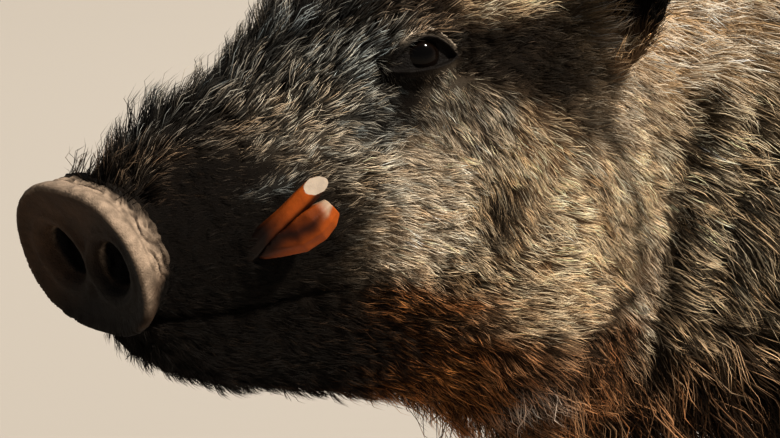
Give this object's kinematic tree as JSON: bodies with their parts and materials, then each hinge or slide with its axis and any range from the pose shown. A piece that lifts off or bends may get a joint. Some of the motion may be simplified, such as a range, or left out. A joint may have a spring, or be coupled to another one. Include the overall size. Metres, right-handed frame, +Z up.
{
  "type": "wild boar",
  "caption": "Adult male wild boar, standing on all feet with its head turned to its left, as a still life-size museum model.",
  "frame": {"origin": "under the middle of the animal's box, on the ground", "axes": "+Z up; the trunk faces -Y and lies along Y; the animal's left, to which the head turns, is +X"},
  "size_m": [0.5634, 1.4218, 0.8837],
  "materials": {
    "coat": "coarse bristly fur, grizzled grey-brown with pale tips",
    "snout_skin": "bare wrinkled skin, slightly moist",
    "tusk": "stained ivory, semi-gloss",
    "horn": "dark horn, satin",
    "eye": "wet gloss"
  },
  "bodies": {
    "root": {"dewclaw_fore_left_inner": "horn", "dewclaw_fore_left_outer": "horn", "dewclaw_fore_right_inner": "horn", "dewclaw_fore_right_outer": "horn", "dewclaw_hind_left_inner": "horn", "dewclaw_hind_left_outer": "horn", "dewclaw_hind_right_inner": "horn", "dewclaw_hind_right_outer": "horn", "ear_left": "coat", "ear_right": "coat", "eye_left": "eye", "eye_right": "eye", "fore_leg_left": "coat", "fore_leg_right": "coat", "head": "coat", "hind_leg_left": "coat", "hind_leg_right": "coat", "hoof_fore_left_inner": "horn", "hoof_fore_left_outer": "horn", "hoof_fore_right_inner": "horn", "hoof_fore_right_outer": "horn", "hoof_hind_left_inner": "horn", "hoof_hind_left_outer": "horn", "hoof_hind_right_inner": "horn", "hoof_hind_right_outer": "horn", "lower_jaw": "coat", "lower_tusk_left": "tusk", "lower_tusk_right": "tusk", "neck": "coat", "snout_disc": "snout_skin", "tail": "coat", "trunk": "coat", "upper_tusk_left": "tusk", "upper_tusk_right": "tusk"}
  },
  "joints": []
}
